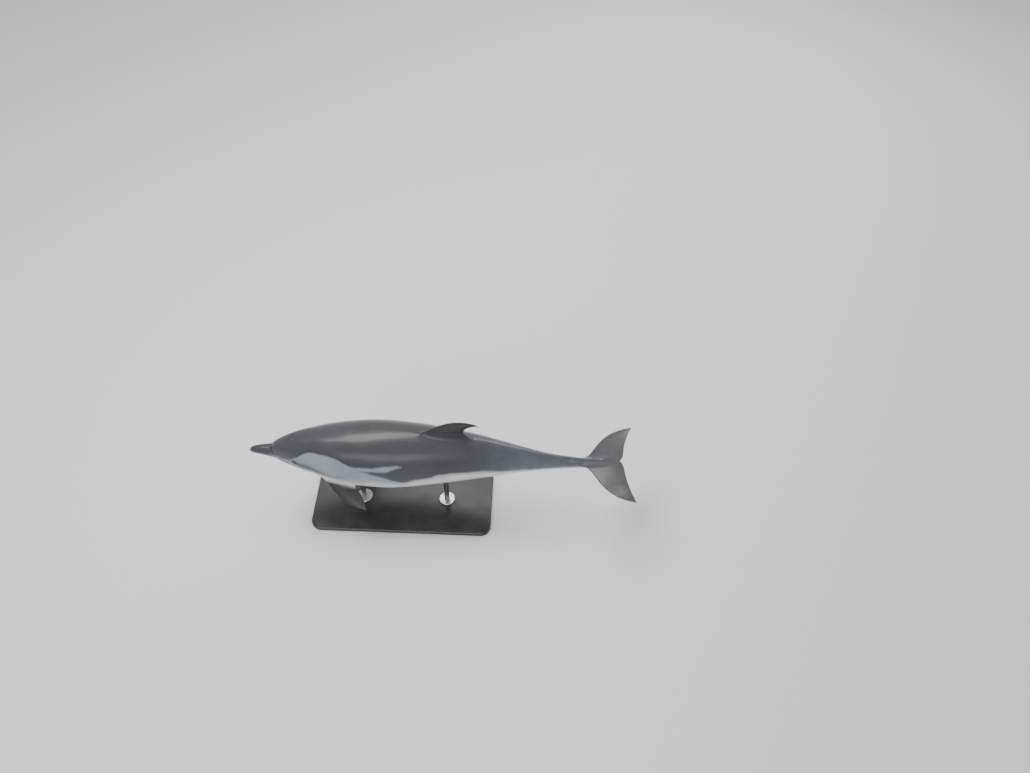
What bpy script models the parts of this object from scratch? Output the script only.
"""A life-size bottlenose dolphin, swimming level, held by a plain display stand.

The body is one smooth spindle, described by four curves that run from the beak's tip to the
fluke notch: the back, the belly, the greatest half-width and the height where that width lies.
It is modelled whole and then parted with thin cuts into beak, jaw, head, chest, trunk and tail
stock. The fins are foil-shaped blades that meet the body's surface.

Row frame: metres, +Z up, the beak points along -X, the animal's left side faces -Y, and the
origin is at the middle of the stand's underside.
"""

import math

import bmesh
import bpy
import numpy as np

# ------------------------------------------------------------------ driving dimensions
BODY_LENGTH = 2.45  # beak tip to fluke notch, an adult's length
AXIS_HEIGHT = 0.60  # the body's axis above the floor
BALANCE_STATION = 0.40  # share of the body's length that lies over the stand's middle
GAP = 0.0003  # clearance between touching pieces
BODY_STATIONS = 54  # rings along the body
BODY_RING = 32  # points round each ring, an even number

# Where the body is parted, as shares of its length from the beak's tip.
MELON_CREASE = 0.0595
GAPE = 0.112  # the mouth's corner
THROAT = 0.122  # the jaw's rear end on the underside
NECK = 0.175
MIDRIFF = 0.375
VENT = 0.665
STOCK_END = 0.985
SKIN_CLEAR = 0.2  # cutting blocks reach this far past the skin, in body lengths

# Curves along the body: (station, height or half-width), in body lengths from the axis.
BACK = [
    (0.0, -0.0100), (0.0, -0.0030), (0.005, 0.0025), (0.018, 0.0060), (0.038, 0.0072),
    (0.052, 0.0076), (0.0565, 0.0080), (0.0600, 0.0094), (0.0620, 0.0135),
    (0.0675, 0.0200), (0.0770, 0.0282), (0.0920, 0.0380), (0.114, 0.0482), (0.145, 0.0590),
    (0.185, 0.0698), (0.24, 0.0814), (0.30, 0.0898), (0.37, 0.0928), (0.45, 0.0910),
    (0.53, 0.0845), (0.60, 0.0732), (0.66, 0.0590), (0.72, 0.0410), (0.78, 0.0225),
    (0.84, 0.0090), (0.89, 0.0030), (0.93, 0.0005), (0.96, -0.0005), (0.985, -0.0030),
]
BELLY = [
    (0.0, -0.0100), (0.0, -0.0160), (0.005, -0.0200), (0.020, -0.0222), (0.045, -0.0245),
    (0.070, -0.0295), (0.095, -0.0385), (0.120, -0.0485), (0.160, -0.0610), (0.21, -0.0740),
    (0.26, -0.0845), (0.31, -0.0918), (0.36, -0.0950), (0.42, -0.0930), (0.48, -0.0862),
    (0.54, -0.0795), (0.60, -0.0730), (0.66, -0.0665), (0.72, -0.0595), (0.78, -0.0530),
    (0.84, -0.0470), (0.89, -0.0405), (0.93, -0.0330), (0.96, -0.0200), (0.985, -0.0075),
]
HALF_WIDTH = [
    (0.0, 0.0), (0.0, 0.0058), (0.005, 0.0098), (0.018, 0.0132), (0.035, 0.0150),
    (0.050, 0.0166), (0.063, 0.0190), (0.076, 0.0235), (0.092, 0.0310), (0.113, 0.0402),
    (0.138, 0.0495), (0.17, 0.0592), (0.21, 0.0695), (0.26, 0.0800), (0.31, 0.0866),
    (0.36, 0.0888), (0.42, 0.0862), (0.48, 0.0790), (0.54, 0.0698), (0.60, 0.0600),
    (0.66, 0.0490), (0.72, 0.0360), (0.78, 0.0240), (0.84, 0.0158), (0.89, 0.0118),
    (0.93, 0.0096), (0.96, 0.0080), (0.985, 0.0050),
]
WIDEST = [  # the mouth line as far as the gape, then the widest line of the flank
    (0.0, -0.0100), (0.020, -0.0098), (0.050, -0.0115), (0.080, -0.0152), (0.100, -0.0162),
    (0.112, -0.0138), (0.128, -0.0102), (0.16, -0.0090), (0.22, -0.0105), (0.30, -0.0130),
    (0.40, -0.0130), (0.50, -0.0110), (0.60, -0.0080), (0.70, -0.0100), (0.80, -0.0160),
    (0.89, -0.0180), (0.94, -0.0130), (0.985, -0.0052),
]
# Roundness of the section above and below the widest line: 2 is an ellipse, less is a keel.
ROUND_ABOVE = [(0.0, 2.2), (0.06, 2.2), (0.09, 2.35), (0.2, 2.1), (0.4, 2.05), (0.6, 1.85),
               (0.78, 1.6), (0.985, 1.6)]
ROUND_BELOW = [(0.0, 2.2), (0.10, 2.1), (0.25, 2.3), (0.45, 2.2), (0.66, 1.9), (0.80, 1.6),
               (0.985, 1.6)]

# Fins: edges as (along the body, outwards), in body lengths, from root to tip.
DORSAL_LEAD = [(0.452, -0.020), (0.470, 0.0), (0.492, 0.018), (0.516, 0.041), (0.545, 0.060),
               (0.578, 0.0670), (0.606, 0.0640), (0.621, 0.0575)]
DORSAL_TRAIL = [(0.602, -0.020), (0.596, 0.0), (0.584, 0.010), (0.579, 0.026),
                (0.586, 0.041), (0.603, 0.0520), (0.621, 0.0575)]
DORSAL_ROOT = (0.0835, 0.54)  # height of the fin's base line above the axis, and its station
DORSAL_SLOPE = -0.115  # the back falls this much per length under the fin
DORSAL_THICK = 0.0165

FLIPPER_LEAD = [(-0.012, -0.020), (0.004, 0.0), (0.018, 0.018), (0.036, 0.040),
                (0.060, 0.060), (0.090, 0.073), (0.120, 0.0790)]
FLIPPER_TRAIL = [(0.058, -0.020), (0.064, 0.0), (0.086, 0.015), (0.106, 0.037),
                 (0.118, 0.060), (0.122, 0.0790)]
FLIPPER_ROOT = (0.203, 0.0610, -0.0480)  # station, half-width and height of its front end
FLIPPER_DOWN = math.radians(40)  # the blade hangs this far below level
FLIPPER_PITCH = math.radians(7)  # its front edge is lower than its rear edge
FLIPPER_THICK = 0.0105

FLUKE_LEAD = [(0.890, -0.004), (0.909, 0.012), (0.928, 0.036), (0.943, 0.062),
              (0.966, 0.090), (0.999, 0.112), (1.040, 0.1215)]
FLUKE_TRAIL = [(1.000, 0.0), (1.004, 0.004), (1.010, 0.016), (1.012, 0.040), (1.018, 0.066),
               (1.027, 0.094), (1.040, 0.1215)]
FLUKE_RISE = [(0.85, -0.0165), (0.905, -0.0150), (0.945, -0.0110), (0.985, -0.0045),
              (1.015, -0.0005), (1.045, 0.0030)]  # the blade's height along the body
FLUKE_THICK = 0.0125
FLUKE_DROOP = 0.016  # how far the tips hang below the root
EDGE_THICK = 0.0011  # least thickness of a fin's rear edge, in metres

FIN_ROWS = 14  # sections from root to tip
FIN_RING = 15  # points round a section, odd so that the rear edge is blunt
FIN_LAST_ROW = 0.985  # the last section, just short of the tip

EYE_RADIUS = 0.0150
EYE_STATION = 0.1335
EYE_HEIGHT = 0.0008
EYE_PROUD = 0.0022  # how far the eyeball stands out of the head

STAND_LENGTH = 1.25
STAND_WIDTH = 0.54
STAND_THICK = 0.030
STAND_CORNER = 0.07
STAND_CHAMFER = 0.004
ROD_RADIUS = 0.018
ROD_STATIONS = {"front": 0.285, "rear": 0.525}
FLANGE_RADIUS = 0.055
FLANGE_HEIGHT = 0.014

# ------------------------------------------------------------------ scene and materials


def clear_scene():
    for obj in list(bpy.data.objects):
        bpy.data.objects.remove(obj)


def make_material(name, colour, roughness, metallic=0.0):
    material = bpy.data.materials.new(name)
    material.use_nodes = True
    shader = material.node_tree.nodes["Principled BSDF"]
    shader.inputs["Base Color"].default_value = (*colour, 1.0)
    shader.inputs["Roughness"].default_value = roughness
    shader.inputs["Metallic"].default_value = metallic
    return material


def make_collection(name, hidden=False):
    collection = bpy.data.collections.new(name)
    bpy.context.scene.collection.children.link(collection)
    collection.hide_render = hidden
    return collection


def add_object(name, mesh, collection, material=None):
    obj = bpy.data.objects.new(name, mesh)
    collection.objects.link(obj)
    if material:
        obj.data.materials.clear()
        obj.data.materials.append(material)
    return obj


def add_cutter(name, mesh):
    obj = add_object(name, mesh, cutters)
    obj.hide_render = True
    obj.display_type = "WIRE"
    return obj


def add_boolean(obj, operation, cutter):
    modifier = obj.modifiers.new(f"{operation.lower()}_{cutter.name}", "BOOLEAN")
    modifier.operation = operation
    modifier.solver = "EXACT"
    modifier.object = cutter


# ------------------------------------------------------------------ curves and lofts


def spline(points, samples=40):
    """A smooth curve drawn by control points: a cubic B-spline that starts and ends on them."""
    p = np.array(points, float)
    p = np.vstack([p[:1], p[:1], p, p[-1:], p[-1:]])
    t = np.linspace(0, 1, samples, endpoint=False)[None, :, None]
    a, b, c, d = (p[i : len(p) - 3 + i, None, :] for i in range(4))
    curve = (
        (1 - t) ** 3 * a
        + (3 * t**3 - 6 * t**2 + 4) * b
        + (-3 * t**3 + 3 * t**2 + 3 * t + 1) * c
        + t**3 * d
    ) / 6
    return np.vstack([curve.reshape(-1, p.shape[1]), p[-1:]])


def along(points, station):
    """The curve's second value at a station."""
    curve = spline(points)
    return np.interp(station, curve[:, 0], curve[:, 1])


def at_arc(points, share):
    """Points on the curve at shares of its own length."""
    curve = spline(points)
    steps = np.linalg.norm(np.diff(curve, axis=0), axis=1)
    arc = np.concatenate([[0], np.cumsum(steps)]) / steps.sum()
    return np.column_stack([np.interp(share, arc, curve[:, k]) for k in (0, 1)])


def place(station, side, height):
    """Body lengths to the row frame: station along the body, side across it, height above it."""
    x = (np.asarray(station, float) - BALANCE_STATION) * BODY_LENGTH
    y = np.asarray(side, float) * BODY_LENGTH
    z = np.asarray(height, float) * BODY_LENGTH + AXIS_HEIGHT
    return np.stack(np.broadcast_arrays(x, y, z), axis=-1)


def loft(name, rings, tip=None):
    """A closed mesh through rings of equally many points, with a point or a flat cap at its ends."""
    bm = bmesh.new()
    rows = [[bm.verts.new(point) for point in ring] for ring in rings]
    for near, far in zip(rows, rows[1:]):
        for k in range(len(near)):
            following = (k + 1) % len(near)
            bm.faces.new((near[k], near[following], far[following], far[k]))
    if tip is None:
        bm.faces.new(rows[0])
    else:
        pole = bm.verts.new(tip)
        for k in range(len(rows[0])):
            bm.faces.new((pole, rows[0][k], rows[0][(k + 1) % len(rows[0])]))
    bm.faces.new(rows[-1])
    bmesh.ops.recalc_face_normals(bm, faces=bm.faces)
    bmesh.ops.triangulate(bm, faces=bm.faces)  # so that a swollen copy bends the same way
    mesh = bpy.data.meshes.new(name)
    bm.to_mesh(mesh)
    bm.free()
    mesh.shade_smooth()
    mesh.set_sharp_from_angle(angle=math.radians(50))
    return mesh


# ------------------------------------------------------------------ the body


def body_stations():
    """Stations that crowd at the beak's tip and the melon's crease, where the outline turns."""
    fine = np.linspace(0, 1, 400)
    crowding = 1 + 9 * np.exp(-fine / 0.012) + 7 * np.exp(-(((fine - 0.065) / 0.02) ** 2))
    crowding += 2.0 * np.exp(-(((fine - 0.12) / 0.06) ** 2)) + np.exp(-(1 - fine) / 0.05)
    share = np.cumsum(crowding) - crowding[0]
    first = 0.0012
    spread = np.interp(np.linspace(0, share[-1], BODY_STATIONS), share, fine)
    return first + spread * (STOCK_END - first)


def body_ring(station, count=BODY_RING):
    """One cross-section: two half superellipses that share the widest line."""
    angle = np.arange(count) / count * 2 * math.pi
    up, out = np.cos(angle), np.sin(angle)
    power = np.where(up >= 0, along(ROUND_ABOVE, station), along(ROUND_BELOW, station))
    widest = along(WIDEST, station)
    reach = np.where(up >= 0, along(BACK, station) - widest, widest - along(BELLY, station))
    side = along(HALF_WIDTH, station) * np.sign(out) * np.abs(out) ** (2 / power)
    height = widest + reach * np.sign(up) * np.abs(up) ** (2 / power)
    return place(station, side, height)


def make_body_mesh():
    rings = [body_ring(station) for station in body_stations()]
    return loft("body", rings, tip=place(0.0, 0.0, WIDEST[0][1]))


def swollen(mesh, by):
    """A copy of the mesh with its skin moved outwards."""
    bm = bmesh.new()
    bm.from_mesh(mesh)
    bm.normal_update()
    for vert, normal in [(v, v.normal.copy()) for v in bm.verts]:
        vert.co += normal * by
    grown = bpy.data.meshes.new(mesh.name + "_swollen")
    bm.to_mesh(grown)
    bm.free()
    return grown


def slab(name, front, rear):
    """A block that keeps the body between two stations, less half a gap at each."""
    low = place(front, -SKIN_CLEAR, -SKIN_CLEAR) + (GAP / 2, 0, 0)
    high = place(rear, SKIN_CLEAR, SKIN_CLEAR) - (GAP / 2, 0, 0)
    bm = bmesh.new()
    bmesh.ops.create_cube(bm, size=1.0)
    bmesh.ops.scale(bm, vec=high - low, verts=bm.verts)
    bmesh.ops.translate(bm, vec=(low + high) / 2, verts=bm.verts)
    mesh = bpy.data.meshes.new(name)
    bm.to_mesh(mesh)
    bm.free()
    return add_cutter(name, mesh)


def jaw_block(name, lowered=0.0):
    """A block under the mouth line, whose rear face slants from the gape to the throat."""
    stations = np.linspace(-0.01, GAPE, 12)
    line = [(s, float(along(WIDEST, max(s, 0.0)))) for s in stations]
    outline = [*line, (THROAT, -SKIN_CLEAR), (-0.01, -SKIN_CLEAR)]
    rings = [
        place([s for s, _ in outline], side, [h for _, h in outline]) - (lowered, 0, lowered)
        for side in (-SKIN_CLEAR, SKIN_CLEAR)
    ]
    return add_cutter(name, loft(name, rings))


def eye_centre(side):
    """The eyeball's centre, sunk in the head so that only its front stands proud."""
    widest, back = along(WIDEST, EYE_STATION), along(BACK, EYE_STATION)
    power = along(ROUND_ABOVE, EYE_STATION)
    rise = (EYE_HEIGHT - widest) / (back - widest)
    half = along(HALF_WIDTH, EYE_STATION) * (1 - rise**power) ** (1 / power)
    skin = place(EYE_STATION, side * half, EYE_HEIGHT)
    inwards = side * (EYE_RADIUS - EYE_PROUD)
    return skin - np.array([0.0, inwards, 0.0])


def ball(name, centre, radius):
    bm = bmesh.new()
    bmesh.ops.create_uvsphere(bm, u_segments=16, v_segments=10, radius=radius)
    bmesh.ops.translate(bm, vec=centre, verts=bm.verts)
    mesh = bpy.data.meshes.new(name)
    bm.to_mesh(mesh)
    bm.free()
    mesh.shade_smooth()
    return mesh


def make_body(body_mesh, skin, pale_skin):
    """The body's lengths: the same whole mesh in each node, kept between its own cuts."""
    ahead = -0.01  # a station ahead of the beak
    jaw_space, jaw_keep = jaw_block("jaw_space"), jaw_block("jaw_keep", lowered=GAP)
    before_neck = slab("before_neck", ahead, NECK)
    for name, front, rear, material in (
        ("upper_beak", ahead, MELON_CREASE, skin),
        ("head", MELON_CREASE, NECK, skin),
        ("chest", NECK, MIDRIFF, skin),
        ("trunk", MIDRIFF, VENT, skin),
        ("tail_stock", VENT, STOCK_END + 0.01, skin),
    ):
        piece = add_object(name, body_mesh.copy(), parts, material)
        add_boolean(piece, "INTERSECT", slab(f"keep_{name}", front, rear))
        if rear <= NECK:
            add_boolean(piece, "DIFFERENCE", jaw_space)
        if name == "head":
            for word, side in SIDES.items():
                socket = ball(f"socket_{word}", eye_centre(side), EYE_RADIUS + GAP)
                add_boolean(piece, "DIFFERENCE", add_cutter(socket.name, socket))
    jaw = add_object("lower_jaw", body_mesh.copy(), parts, pale_skin)
    add_boolean(jaw, "INTERSECT", before_neck)
    add_boolean(jaw, "INTERSECT", jaw_keep)


def make_eyes(material):
    for word, side in SIDES.items():
        name = f"eye_{word}"
        add_object(name, ball(name, eye_centre(side), EYE_RADIUS), parts, material)


# ------------------------------------------------------------------ the fins


def foil(chord):
    """Half the thickness of a fin's section: round in front, thin behind, 1 at its thickest."""
    shape = np.sqrt(chord) * (1 - chord) ** 0.9
    return shape / 0.4766


def fin_rings(lead, trail, thickness, to_frame):
    """Sections from root to tip, each a foil between the front and rear edge."""
    turn = np.arange(FIN_RING) / FIN_RING * 2 * math.pi
    chord = (1 - np.cos(turn)) / 2
    rings = []
    for row in range(FIN_ROWS):
        share = math.sin(row / (FIN_ROWS - 1) * math.pi / 2) * FIN_LAST_ROW
        front, rear = at_arc(lead, share)[0], at_arc(trail, share)[0]
        line = front + (rear - front) * chord[:, None]
        thick = thickness * (1 - share) ** 0.75
        half = thick * foil(chord) / 2 + EDGE_THICK / BODY_LENGTH * np.sqrt(chord)
        rings.append(to_frame(line[:, 0], line[:, 1], half * np.sign(np.sin(turn))))
    return rings


def dorsal_frame(station, rise, thick):
    height, middle = DORSAL_ROOT
    return place(station, thick, height + rise + (station - middle) * DORSAL_SLOPE)


def flipper_frame(side):
    """Turns a flat flipper into its pose: swept back, hanging outwards, front edge low."""
    root_station, root_side, root_height = FLIPPER_ROOT

    def to_frame(back, out, thick):
        lift = thick + back * math.sin(FLIPPER_PITCH)
        outwards = out * math.cos(FLIPPER_DOWN) + lift * math.sin(FLIPPER_DOWN)
        downwards = out * math.sin(FLIPPER_DOWN) - lift * math.cos(FLIPPER_DOWN)
        return place(root_station + back, side * (root_side + outwards), root_height - downwards)

    return to_frame


def fluke_frame(side):
    span = FLUKE_LEAD[-1][1]

    def to_frame(station, out, thick):
        clear = np.maximum(out, 0.0) + GAP / 2 / BODY_LENGTH
        rise = along(FLUKE_RISE, station) - FLUKE_DROOP * (np.maximum(out, 0.0) / span) ** 2
        return place(station, side * clear, rise + thick)

    return to_frame


def make_fins(body_swollen, material):
    blades = [("dorsal_fin", DORSAL_LEAD, DORSAL_TRAIL, DORSAL_THICK, dorsal_frame)]
    for word, side in SIDES.items():
        blades.append((f"flipper_{word}", FLIPPER_LEAD, FLIPPER_TRAIL, FLIPPER_THICK,
                       flipper_frame(side)))
        blades.append((f"fluke_{word}", FLUKE_LEAD, FLUKE_TRAIL, FLUKE_THICK,
                       fluke_frame(side)))
    for name, lead, trail, thickness, to_frame in blades:
        mesh = loft(name, fin_rings(lead, trail, thickness, to_frame))
        add_boolean(add_object(name, mesh, parts, material), "DIFFERENCE", body_swollen)


# ------------------------------------------------------------------ the stand


def make_stand_base(material):
    """A flat plate with round corners and a chamfered upper edge."""
    bm = bmesh.new()
    bmesh.ops.create_cube(bm, size=1.0)
    bmesh.ops.scale(bm, vec=(STAND_LENGTH, STAND_WIDTH, STAND_THICK), verts=bm.verts)
    bmesh.ops.translate(bm, vec=(0, 0, STAND_THICK / 2), verts=bm.verts)
    upright = [e for e in bm.edges if abs(e.verts[0].co.z - e.verts[1].co.z) > STAND_THICK / 2]
    bmesh.ops.bevel(bm, geom=upright, offset=STAND_CORNER, segments=8, profile=0.5,
                    affect="EDGES")
    rim = [e for e in bm.edges if min(v.co.z for v in e.verts) > STAND_THICK * 0.99]
    bmesh.ops.bevel(bm, geom=rim, offset=STAND_CHAMFER, segments=1, profile=0.5,
                    affect="EDGES")
    mesh = bpy.data.meshes.new("stand_base")
    bm.to_mesh(mesh)
    bm.free()
    add_object("stand_base", mesh, parts, material)


def make_rod(word, x, body_swollen, material):
    """An upright that ends on the belly, a gap clear of the base and the skin."""
    foot = STAND_THICK + GAP
    bm = bmesh.new()
    bmesh.ops.create_cone(bm, cap_ends=True, segments=24, radius1=ROD_RADIUS,
                          radius2=ROD_RADIUS, depth=AXIS_HEIGHT - foot)
    bmesh.ops.translate(bm, vec=(x, 0, (AXIS_HEIGHT + foot) / 2), verts=bm.verts)
    mesh = bpy.data.meshes.new(f"stand_rod_{word}")
    bm.to_mesh(mesh)
    bm.free()
    mesh.shade_smooth()
    mesh.set_sharp_from_angle(angle=math.radians(40))
    add_boolean(add_object(mesh.name, mesh, parts, material), "DIFFERENCE", body_swollen)


def make_flange(word, x, material):
    """A turned collar round the rod's foot: a profile carried round by a Screw modifier."""
    inner, low = ROD_RADIUS + GAP, STAND_THICK + GAP
    high, edge = low + FLANGE_HEIGHT, 0.003
    profile = [(inner, high), (FLANGE_RADIUS - edge, high), (FLANGE_RADIUS, high - edge),
               (FLANGE_RADIUS, low), (inner, low)]
    name = f"stand_flange_{word}"
    mesh = bpy.data.meshes.new(name)
    count = len(profile)
    mesh.from_pydata([(r, 0, z) for r, z in profile], [(k, (k + 1) % count) for k in range(count)], [])
    flange = add_object(name, mesh, parts, material)
    flange.location.x = x
    screw = flange.modifiers.new("turned", "SCREW")
    screw.steps = screw.render_steps = 32
    screw.use_merge_vertices = True
    screw.merge_threshold = 0.0001


def make_stand(body_swollen, board, steel):
    make_stand_base(board)
    for word, station in ROD_STATIONS.items():
        x = float(place(station, 0, 0)[0])
        make_rod(word, x, body_swollen, steel)
        make_flange(word, x, steel)


# ------------------------------------------------------------------ the model

SIDES = {"left": -1, "right": 1}  # the animal's left side faces -Y

clear_scene()
parts = make_collection("bottlenose_dolphin")
cutters = make_collection("cutters", hidden=True)
dark_skin = make_material("skin_dark", (0.060, 0.066, 0.078), 0.32)
light_skin = make_material("skin_pale", (0.45, 0.46, 0.47), 0.34)
eye_brown = make_material("eye", (0.012, 0.008, 0.006), 0.06)
black_board = make_material("stand_board", (0.022, 0.023, 0.025), 0.45)
rod_steel = make_material("stand_steel", (0.55, 0.56, 0.57), 0.30, metallic=1.0)

whole_body = make_body_mesh()
swollen_body = add_cutter("body_swollen", swollen(whole_body, GAP))
make_body(whole_body, dark_skin, light_skin)
make_eyes(eye_brown)
make_fins(swollen_body, dark_skin)
make_stand(swollen_body, black_board, rod_steel)
